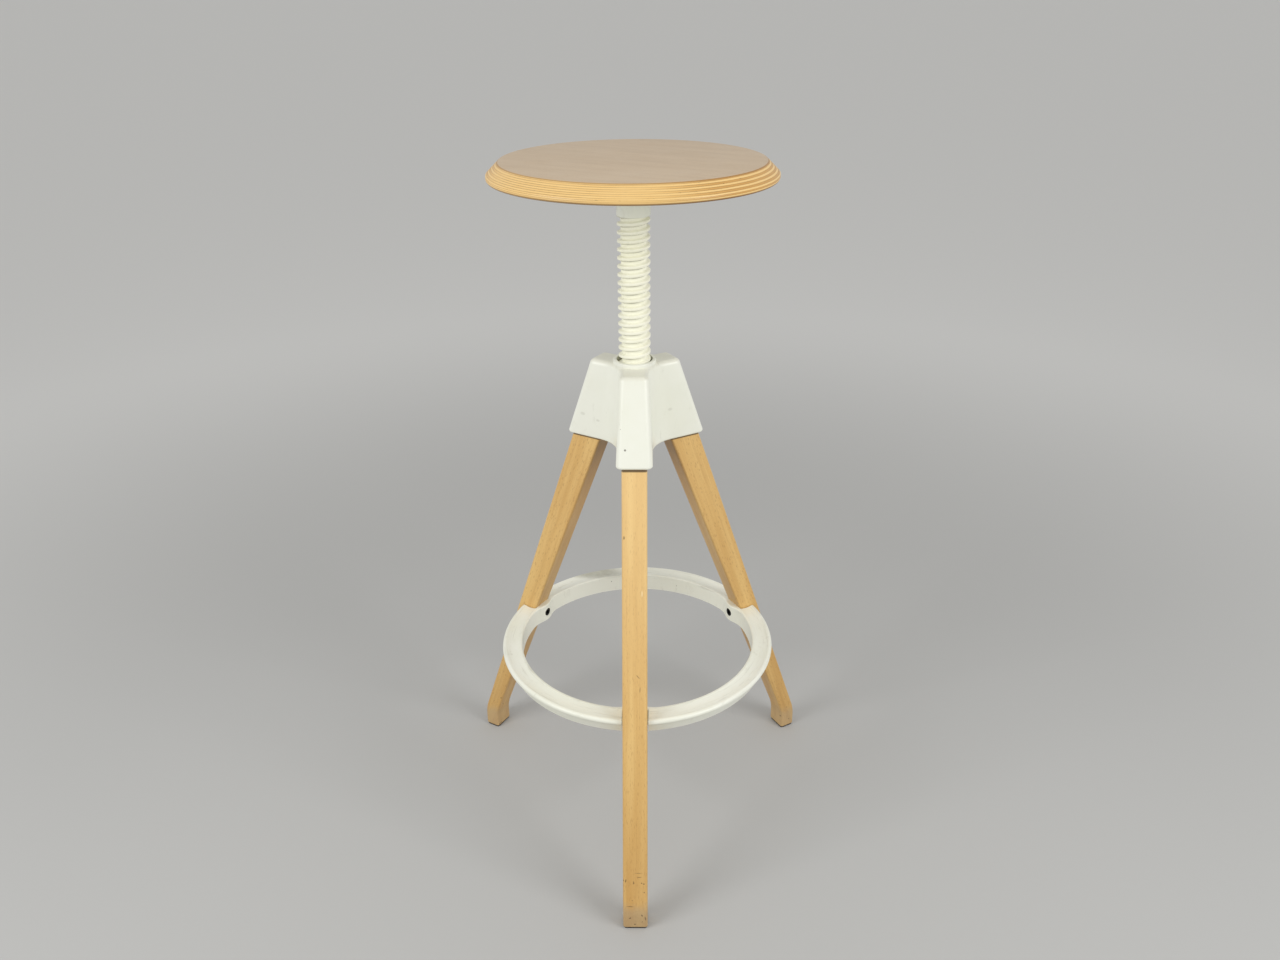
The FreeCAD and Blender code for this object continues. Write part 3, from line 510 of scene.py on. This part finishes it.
def lacquered_beech():
    """Beech along each leg: broad pale and warm bands, fine streaks, the short dark flecks of its rays,
    painted shade on the inner sides, a painted shadow line under the hub's mouth, paler towards the top
    and darker towards the foot, grime at the feet, and knocks, under a thin lacquer."""
    f = Finish("lacquered_beech")
    z = f.parts(f.object_place())[2]
    at = f.marked("grain", "Vector")
    bands = f.grain(at, (70, 70, 4), 3.0, 0.55)
    streaks = f.grain(at, (420, 420, 9), 4.0, 0.65)
    rays = f.flecks(at, (640, 340, 95))
    fine_rays = f.flecks(at, (1700, 800, 260))
    colour = f.mix(f.step(bands, 0.3, 0.7), *BEECH)
    colour = f.mix(f.patches(streaks, 0.46, 0.74, 0.45), colour, BEECH_STREAK)
    colour = f.mix(f.patches(rays, 0.30, 0.10, 0.40), colour, BEECH_RAY)
    colour = f.mix(f.patches(fine_rays, 0.34, 0.12, 0.30), colour, BEECH_FINE_RAY)
    on_front_leg = f.between(f.parts(at)[0], FRONT_LEG_GRAIN)
    # paler towards the top, most on the front leg, and darker towards the foot
    paler_high = f.times(f.between(z, LEG_PALER_HIGH), f.lifted(0.08, on_front_leg, 0.28))
    colour = f.mix(paler_high, colour, BEECH_PALER_HIGH)
    colour = f.mix(f.times(f.between(z, LEG_DARKER_LOW), 0.22), colour, BEECH_DARKER_LOW)
    # painted shade on the legs' inner sides, deeper near the hub
    inner_dark = f.lifted(0.30, f.between(z, INNER_SHADE_DEEPENING), 0.28)
    inner_side = f.times(f.marked("inner_side"), inner_dark, f.between(z, INNER_SHADE_START))
    colour = f.mix(inner_side, colour, BEECH_INNER_SHADE)
    # painted shadow line on the legs just under the hub's bottom edge
    colour = f.mix(f.times(f.between(z, HUB_MOUTH_SHADOW), 0.8), colour, BEECH_SHADOW_LINE)

    def face_mark(across, height, wide, long, lean=0.0):
        """A mark on the front leg's outer face."""
        return f.mark(at, (across, LEG_FACE_DEPTH, height * LEG_STRETCH), (wide, MARK_DEPTH, long),
                      math.radians(lean))

    colour = f.mix(f.times(face_mark(*PALE_SPOT), 0.6), colour, BEECH_PALE_SPOT)
    smear = f.math("SUBTRACT", f.grain(at, (60, 60, 40), 4.0, 0.6), 0.5)
    low = f.math("SUBTRACT", z, f.times(smear, FOOT_GRIME_WANDER * MM))
    grime = f.between(low, FOOT_GRIME)
    colour = f.mix(f.times(grime, 0.40), colour, BEECH_GRIME)
    knocks = f.grain(at, (140, 140, 190), 1.0)
    worn = f.times(f.step(knocks, 0.72, 0.76), f.between(z, FOOT_KNOCKS), 0.8)
    marks = f.most([f.times(face_mark(*mark), dark) for *mark, dark in LEG_MARKS])
    ragged = f.step(f.noise(at, 1600.0, 2.0), 0.30, 0.52)
    hurt = f.most([worn, f.times(marks, f.lifted(0.35, ragged, 0.65))])
    colour = f.mix(hurt, colour, BEECH_KNOCK)

    bump = f.math("SUBTRACT", streaks, f.times(hurt, 3.0))
    rough = f.lifted(0.38, grime, 0.25)
    return f.done(bump, WOOD_RELIEF, Base_Color=colour, Roughness=rough, Coat_Weight=0.15,
                  Coat_Roughness=0.3)


def cast_enamel():
    """Off-white enamel on the castings: slow yellowing, painted shade with a painted tan reflection of the
    seat on the hub's top, grey scuffs on the hub, painted shade on the back of the ring's tread, grey
    scuffs that follow the foot ring where feet rub, a fine orange-peel skin, and chips down to dark metal."""
    f = Finish("cast_enamel")
    at = f.object_place()
    z = f.parts(at)[2]
    slow = f.noise(at, 16.0, 3.0)
    scuffs = f.noise(f.stretched(at, (1, 1, 0.4)), 90.0, 5.0, 0.65)
    rubbed = f.grain(f.unrolled_place(RING_R), (22, 320, 160), 5.0, 0.65)
    on_tread = f.times(f.between(z, TREAD_RUB_LOW), f.between(z, TREAD_RUB_HIGH))
    # painted shade on the hub's top faces, with a painted tan reflection of the seat
    top_shade = f.times(f.between(z, HUB_TOP_SHADE_LOW), f.between(z, HUB_TOP_SHADE_HIGH))
    colour = f.mix(f.step(slow, 0.35, 0.7), *CAST_WHITE)
    colour = f.mix(f.patches(scuffs, 0.58, 0.78, 0.30), colour, CAST_SCUFF)
    colour = f.mix(f.times(f.step(rubbed, 0.52, 0.78), on_tread, 0.45), colour, CAST_RUBBED)
    colour = f.mix(f.times(top_shade, 0.16), colour, CAST_TOP_SHADE)
    # grey scuffs on the hub, and painted shade on the back of the ring's tread
    grey = f.most([f.times(f.mark(at, point, reach), strength)
                   for point, reach, strength in ENAMEL_SCUFFS_AND_SHADE])
    colour = f.mix(f.times(grey, f.math("ADD", 0.5, scuffs)), colour, CAST_GREY)
    chips = f.most([f.mark(at, point, (reach, reach, reach)) for point, reach in ENAMEL_CHIPS])
    ragged = f.times(chips, f.step(f.noise(at, 1100.0, 2.0), 0.28, 0.46))
    colour = f.mix(f.times(ragged, 0.9), colour, CAST_CHIP)

    bump = f.math("SUBTRACT", f.noise(at, 650.0, 2.0), f.times(ragged, 3.0))
    rough = f.lifted(0.28, scuffs, 0.2)
    return f.done(bump, CAST_RELIEF, Base_Color=colour, Roughness=rough, Coat_Weight=0.15,
                  Coat_Roughness=0.18)


def post_enamel():
    """Creamy enamel on the screw, with greasy dirt and painted shade in patches in the crease under each
    ridge.
    """
    f = Finish("post_enamel")
    at = f.object_place()
    slow = f.noise(at, 22.0, 3.0)
    greasy = f.step(f.noise(f.stretched(at, (1, 1, 0.6)), 60.0, 4.0, 0.6), 0.38, 0.66)
    # greasy dirt and painted shade in the crease under each ridge
    grease_and_shade = f.times(f.marked("crease"), f.lifted(0.32, greasy, 0.4))
    colour = f.mix(f.step(slow, 0.35, 0.7), *SCREW_CREAM)
    colour = f.mix(grease_and_shade, colour, SCREW_GREASE_AND_SHADE)
    rough = f.lifted(0.26, greasy, 0.1)
    return f.done(f.noise(at, 700.0, 2.0), METAL_RELIEF, Base_Color=colour, Roughness=rough,
                  Coat_Weight=0.15, Coat_Roughness=0.15)


def bare_metal(name, bright, dull, roughness):
    """Plated or blackened metal: fine turned lines, and dull patches where the plating has aged."""
    f = Finish(name)
    at = f.object_place()
    aged = f.noise(at, 180.0, 4.0, 0.6)
    lines = f.noise(f.stretched(at, (1, 1, 12)), 900.0, 2.0)
    colour = f.mix(f.step(aged, 0.4, 0.7), bright, dull)
    rough = f.lifted(roughness, aged, 0.2)
    return f.done(lines, METAL_RELIEF, Base_Color=colour, Roughness=rough, Metallic=1.0)


def moulded_plastic(name, clean, worn):
    """Moulded plastic: a fine matt skin, scuffed paler in patches."""
    f = Finish(name)
    at = f.object_place()
    scuffs = f.noise(at, 140.0, 5.0, 0.65)
    colour = f.mix(f.step(scuffs, 0.45, 0.75), clean, worn)
    rough = f.lifted(0.5, scuffs, 0.25)
    return f.done(f.noise(at, 1200.0, 2.0), PLASTIC_RELIEF, Base_Color=colour, Roughness=rough)


def make_seat_board(finish):
    """The board is turned: its outline runs along the underside, round the low edge, up the narrow rim,
    up the bevel and over the top. On the bevel the outline sinks a little at each glue line."""
    corners = [
        (POLE_R, SEAT_LOW),
        (SEAT_R, SEAT_LOW),
        (SEAT_R, SEAT_TOP - BEVEL_HEIGHT),
        (SEAT_R - BEVEL_WIDTH, SEAT_TOP),
        (POLE_R, SEAT_TOP),
    ]
    line = rounded_run(corners, {1: SEAT_LOW_ROUND, 2: SEAT_EDGE_ROUND, 3: SEAT_EDGE_ROUND})
    edge = line[:, 0] > SEAT_R - BEVEL_WIDTH - SEAT_EDGE_ROUND
    first, last = np.flatnonzero(edge)[[0, -1]]
    rim = filled_run(line[first:last + 1], RIM_GAP)
    from_glue = np.abs(((rim[:, 1] - SEAT_LOW) / PLY_THICK + 0.5) % 1 - 0.5)
    sunk = PLY_RELIEF * np.exp(-(from_glue / GLUE_REACH) ** 2)
    rim[:, 0] -= np.where(rim[:, 1] > SEAT_LOW + SEAT_LOW_ROUND, sunk, 0)
    underside = filled_run(line[:first], FLAT_GAP)
    top = filled_run(line[last + 1:], FLAT_GAP)
    piece, _ = skin("plywood_seat", turned_rows(np.concatenate([underside, rim, top]), SEAT_COLUMNS))
    keep_with(piece, "seat_spindle", "seat_board", finish)


def make_screw_post(finish):
    """The post is turned, and its outside follows the thread: round the post the ridge's middle rises one
    pitch in a turn. The radius is the core's, plus the ridge's height times a flat-topped bell of the
    height above or below the ridge's middle. The crease under each ridge is marked, for greasy dirt and
    painted shade."""
    thread_z = np.arange(POST_LOW, COLLAR_Z, THREAD_ROW)
    inside = np.array([(POLE_R, POST_BORE_TOP), (POST_BORE_R, POST_BORE_TOP), (POST_BORE_R, POST_LOW)])
    spigot = np.array([(SPIGOT_R, COLLAR_Z), (SPIGOT_R, SPIGOT_TOP), (POLE_R, SPIGOT_TOP)])
    outside = np.stack([np.full_like(thread_z, CORE_R), thread_z], axis=1)
    line = np.concatenate([inside, outside, spigot])
    rows = turned_rows(line, POST_COLUMNS)
    angle = np.arange(POST_COLUMNS) * TURN / POST_COLUMNS
    ridge_z = RIDGE_FRONT_Z + PITCH * (angle - math.radians(LEG_TURNS["front"])) / TURN
    above = (rows[:, :, 2] - ridge_z + PITCH / 2) % PITCH - PITCH / 2
    ridge = np.exp(-np.abs(above / RIDGE_REACH) ** RIDGE_POWER)
    crease = np.exp(-((above + CREASE_DROP) / CREASE_REACH) ** 2)
    threaded = np.zeros((len(line), 1))
    threaded[len(inside):-len(spigot)] = 1
    radius = line[:, :1] + threaded * RIDGE_HEIGHT * ridge
    rows[:, :, 0] = radius * np.cos(angle)
    rows[:, :, 1] = radius * np.sin(angle)
    piece, _ = skin("threaded_post", rows)
    mark_points(piece, "crease", np.concatenate([(threaded * crease).ravel(), [0, 0]]))
    piece.data.set_sharp_from_angle(angle=POST_SHARP_EDGE)
    keep_with(piece, "seat_spindle", "screw_post", finish)


def bent_face(z, foot, top):
    """The radius of a leg's face at a height: upright at the foot, straight to the top, and an arc between
    them that touches both."""
    slope = (foot - top) / (LEG_TOP - FOOT_BEND_Z)
    lean = math.atan(slope)
    reach = FOOT_BEND_ROUND * math.tan(lean / 2)
    arc_low = FOOT_BEND_Z - reach
    arc_high = FOOT_BEND_Z + reach * math.cos(lean)
    rise = np.clip(z - arc_low, 0, FOOT_BEND_ROUND)
    arc = foot - FOOT_BEND_ROUND + np.sqrt(FOOT_BEND_ROUND ** 2 - rise ** 2)
    return np.where(z < arc_high, arc, foot - (z - FOOT_BEND_Z) * slope)


def leg_heights():
    """The heights of a leg's rows of points, and how far each row is drawn in: the lowest rows follow a
    quarter circle round the foot's edge."""
    around_edge = np.linspace(0, math.pi / 2, FOOT_EDGE_ROWS)
    inner_slope = (FOOT_INNER - LEG_TOP_INNER) / (LEG_TOP - FOOT_BEND_Z)
    tongue_z = FOOT_BEND_Z + (FOOT_INNER - TONGUE_INNER) / inner_slope
    upper_z = np.concatenate([
        np.linspace(FOOT_ROWS_LOW, FOOT_ROWS_TOP, FOOT_ROWS),
        np.linspace(LEG_ROWS_LOW, tongue_z, LEG_ROWS),
        np.linspace(tongue_z + TONGUE_ROWS_RISE, LEG_TOP, TONGUE_ROWS),
    ])
    z = np.concatenate([FOOT_LOW + FOOT_EDGE * (1 - np.cos(around_edge)), upper_z])
    inset = np.concatenate([FOOT_EDGE * (1 - np.sin(around_edge)), np.zeros_like(upper_z)])
    return z, inset


def rounded_rectangles(half_depth, half_width):
    """Outlines of rectangles with round corners, one for each pair of half sizes: each corner is a quarter
    circle, and each side runs straight from the end of one corner to the start of the next."""
    quarter = np.arange(4)[:, None] * TURN / 4
    spin = quarter + np.linspace(0, TURN / 4, CORNER_POINTS)
    sign_x = np.array([1, -1, -1, 1])[:, None]
    sign_y = np.array([1, 1, -1, -1])[:, None]
    corner_x = sign_x * (half_depth[:, None, None] - LEG_ROUND) + LEG_ROUND * np.cos(spin)
    corner_y = sign_y * (half_width[:, None, None] - LEG_ROUND) + LEG_ROUND * np.sin(spin)
    corner = np.stack([corner_x, corner_y], axis=-1)
    share = np.linspace(0, 1, SIDE_POINTS + 2)[1:-1, None]
    following = np.roll(corner, -1, axis=1)[:, :, :1]
    side = corner[:, :, -1:] * (1 - share) + following * share
    return np.concatenate([corner, side], axis=2).reshape(len(half_depth), -1, 2)


def make_leg(name, degrees, order, finish):
    """A leg is a rounded rectangle carried from the foot up to the tongue in the hub. At each height the
    rectangle spans the leg's two faces, and at the foot it shrinks along a quarter circle. The grain lies
    along the leg, and each point says how far it is on the inner side."""
    z, inset = leg_heights()
    outer = bent_face(z, FOOT_OUTER, LEG_TOP_OUTER) - inset
    inner = np.maximum(bent_face(z, FOOT_INNER, LEG_TOP_INNER), TONGUE_INNER) + inset
    half_depth = (outer - inner) / 2
    outline = rounded_rectangles(half_depth, LEG_HALF - inset)
    out = outline[:, :, 0] + ((outer + inner) / 2)[:, None]
    across = outline[:, :, 1]
    turn = math.radians(degrees)
    height = np.repeat(z[:, None], out.shape[1], axis=1)
    rows = np.stack([out * math.cos(turn) - across * math.sin(turn),
                     out * math.sin(turn) + across * math.cos(turn), height], axis=-1)
    piece, points = skin("beech_leg_" + name, rows)

    outwards = points[:, 0] * math.cos(turn) + points[:, 1] * math.sin(turn)
    sideways = points[:, 1] * math.cos(turn) - points[:, 0] * math.sin(turn)
    depth = outwards + points[:, 2] * LEG_SLOPE
    along = points[:, 2] * LEG_STRETCH
    grain = np.stack([sideways, depth, along], axis=1) + GRAIN_SHIFT * order
    mark_points(piece, "grain", grain * MM)
    inwards = np.clip(1 - (outline[:, :, 0] + half_depth[:, None]) / LEG_ROUND, 0, 1)
    mark_points(piece, "inner_side", np.concatenate([inwards.ravel(), [0, 0]]))
    piece.data.set_sharp_from_angle(angle=LEG_SHARP_EDGE)
    keep_with(piece, "frame", "leg_" + name, finish)


def eased_copy(node, name, body, finish):
    """A copy of a CAD node with its loose triangles joined, shaded smoothly over its rounded edges: each
    point's normal leans to the larger faces round it, and edges sharper than an angle stay sharp."""
    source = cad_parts[node].data
    at = np.empty(len(source.vertices) * 3, np.float32)
    source.vertices.foreach_get("co", at)
    at = at.reshape(-1, 3)
    used = np.empty(len(source.loops), np.int32)
    source.loops.foreach_get("vertex_index", used)
    stepped = np.round(at * JOIN_STEPS).astype(np.int64)
    _, first, back = np.unique(stepped, axis=0, return_index=True, return_inverse=True)
    triangles = back.reshape(-1)[used].reshape(-1, 3)
    whole = (triangles != np.roll(triangles, 1, axis=1)).all(axis=1)
    mesh = bpy.data.meshes.new(name)
    mesh.from_pydata(at[first].tolist(), [], triangles[whole].tolist())
    piece = placed_piece(name, mesh)
    mesh.set_sharp_from_angle(angle=CAST_SHARP_EDGE)
    ease = piece.modifiers.new("eased_normals", "WEIGHTED_NORMAL")
    ease.keep_sharp = True
    keep_with(piece, body, node, finish)


def repaint(nodes, finish):
    """CAD nodes whose shape is right get a better finish in place of their own."""
    for node in nodes:
        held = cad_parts[node]
        held.data.materials.clear()
        held.data.materials.append(finish)


# Finishes
plywood = lacquered_plywood()
beech = lacquered_beech()
cast_white = cast_enamel()
screw_white = post_enamel()
zinc = bare_metal("zinc_steel", tone(190, 190, 186), tone(150, 148, 142), 0.3)
black_steel = bare_metal("dark_steel", tone(62, 62, 62), tone(40, 38, 36), 0.4)
brass = bare_metal("insert_brass", tone(214, 178, 104), tone(160, 124, 66), 0.3)
nylon = moulded_plastic("bush_nylon", tone(38, 38, 38), tone(62, 60, 58))
glide_black = moulded_plastic("glide_plastic", tone(40, 36, 32), tone(84, 76, 66))

# Pieces
make_seat_board(plywood)
make_screw_post(screw_white)
for leg_order, (leg_name, leg_turn) in enumerate(LEG_TURNS.items()):
    make_leg(leg_name, leg_turn, leg_order, beech)
eased_copy("hub_casting", "cast_hub", "frame", cast_white)
eased_copy("foot_ring", "cast_foot_ring", "frame", cast_white)
eased_copy("seat_plate", "cast_seat_plate", "seat_spindle", cast_white)
repaint(["seat_plate_screws", "post_cross_pin", "post_end_plug", "stop_washer"], zinc)
repaint(["stop_screw", "bush_lock_screws"], black_steel)
repaint(["thread_bush"], nylon)
for leg_name in LEG_TURNS:
    repaint(["leg_screw_" + leg_name, "ring_bolt_" + leg_name], black_steel)
    repaint(["leg_insert_" + leg_name, "ring_insert_" + leg_name], brass)
    repaint(["foot_glide_" + leg_name], glide_black)

# Floor: a wide pale disc, paler further off
FLOOR_R = 60000.0
FLOOR_COLUMNS = 128
FLOOR_NEAR_TONE = tone(184, 184, 182)
FLOOR_FAR_TONE = tone(224, 224, 222)
FLOOR_PALING = (700.0, 2200.0)


def make_floor():
    """The floor is one many-sided face round the stool's axis, and is part of the stage."""
    angle = np.arange(FLOOR_COLUMNS) * TURN / FLOOR_COLUMNS
    rim = np.stack([FLOOR_R * np.cos(angle), FLOOR_R * np.sin(angle), np.zeros_like(angle)], axis=1)
    mesh = bpy.data.meshes.new("floor")
    mesh.from_pydata((rim * MM).tolist(), [], [list(range(FLOOR_COLUMNS))])
    floor = bpy.data.objects.new("floor", mesh)
    bpy.context.scene.collection.objects.link(floor)
    f = Finish("pale_floor")
    away = f.parts(f.unrolled_place(RING_R))[1]
    colour = f.mix(f.between(away, FLOOR_PALING), FLOOR_NEAR_TONE, FLOOR_FAR_TONE)
    mesh.materials.append(f.done(Base_Color=colour, Roughness=0.9))


make_floor()

# Soft studio light in metres: an even world, and a square lamp on each side in front of the stool
scene = bpy.context.scene
scene.view_settings.view_transform = "Standard"
WORLD_LEVEL = 0.62
WORLD_COLOUR = (1.0, 0.995, 0.985, 1)
BACKGROUND_TONE = tone(190, 190, 188)
LAMP_POWER = 10.0
LAMP_SIZE = 0.7
LAMP_SIDE = 1.15
LAMP_FRONT = -0.8
LAMP_HEIGHT = 1.18
STOOL_MIDDLE = (0, 0, 0.6)


def make_world():
    """An even light from all round, with the backdrop's own colour for the rays that show it."""
    world = bpy.data.worlds.new("studio")
    scene.world = world
    world.use_nodes = True
    sky = world.node_tree
    sky.nodes.clear()
    ray = sky.nodes.new("ShaderNodeLightPath")
    lit = sky.nodes.new("ShaderNodeBackground")
    lit.inputs["Color"].default_value = WORLD_COLOUR
    lit.inputs["Strength"].default_value = WORLD_LEVEL
    shown = sky.nodes.new("ShaderNodeBackground")
    shown.inputs["Color"].default_value = BACKGROUND_TONE
    seen = ray.outputs["Is Camera Ray"]
    for kind in ("Is Glossy Ray", "Is Transmission Ray"):
        either = sky.nodes.new("ShaderNodeMath")
        either.operation = "MAXIMUM"
        sky.links.new(seen, either.inputs[0])
        sky.links.new(ray.outputs[kind], either.inputs[1])
        seen = either.outputs[0]
    both = sky.nodes.new("ShaderNodeMixShader")
    sky.links.new(seen, both.inputs[0])
    sky.links.new(lit.outputs[0], both.inputs[1])
    sky.links.new(shown.outputs[0], both.inputs[2])
    out = sky.nodes.new("ShaderNodeOutputWorld")
    sky.links.new(both.outputs[0], out.inputs["Surface"])


def placing(right, up, back, at):
    """Where a lamp or a camera stands: its right, its up, its back and its point, side by side."""
    return Matrix([[right[i], up[i], back[i], at[i]] for i in range(3)] + [[0, 0, 0, 1]])


def make_lamp(name, at):
    """A square lamp at a point, level, facing the middle of the stool and not seen itself."""
    light = bpy.data.lights.new(name, "AREA")
    light.energy = LAMP_POWER
    light.size = LAMP_SIZE
    lamp = bpy.data.objects.new(name, light)
    lamp.visible_camera = False
    scene.collection.objects.link(lamp)
    back = np.array(at) - np.array(STOOL_MIDDLE)
    back /= np.linalg.norm(back)
    right = np.cross((0, 0, 1), back)
    right /= np.linalg.norm(right)
    lamp.matrix_world = placing(right, np.cross(back, right), back, at)


make_world()
make_lamp("left_lamp", (-LAMP_SIDE, LAMP_FRONT, LAMP_HEIGHT))
make_lamp("right_lamp", (LAMP_SIDE, LAMP_FRONT, LAMP_HEIGHT))

# Camera at the photograph's angle, in metres and radians
CAMERA_AT = (0.0225, -1.0889, 0.9871)
CAMERA_PITCH = 0.45696
CAMERA_YAW = -0.01618
CAMERA_ROLL = -0.00729
FOCAL_PIXELS = 1035.24
IMAGE_WIDTH = 1280
SENSOR = 36.0


def make_camera():
    """The camera looks along its yaw and its pitch, and its roll turns it about that line."""
    ahead = np.array([math.sin(CAMERA_YAW) * math.cos(CAMERA_PITCH),
                      math.cos(CAMERA_YAW) * math.cos(CAMERA_PITCH), -math.sin(CAMERA_PITCH)])
    level = np.array([math.cos(CAMERA_YAW), -math.sin(CAMERA_YAW), 0])
    upright = np.cross(level, ahead)
    right = level * math.cos(CAMERA_ROLL) + upright * math.sin(CAMERA_ROLL)
    up = upright * math.cos(CAMERA_ROLL) - level * math.sin(CAMERA_ROLL)
    lens = bpy.data.cameras.new("camera")
    lens.sensor_fit = "HORIZONTAL"
    lens.sensor_width = SENSOR
    lens.lens = FOCAL_PIXELS / IMAGE_WIDTH * SENSOR
    camera = bpy.data.objects.new("camera", lens)
    scene.collection.objects.link(camera)
    camera.matrix_world = placing(right, up, -ahead, CAMERA_AT)
    scene.camera = camera


make_camera()
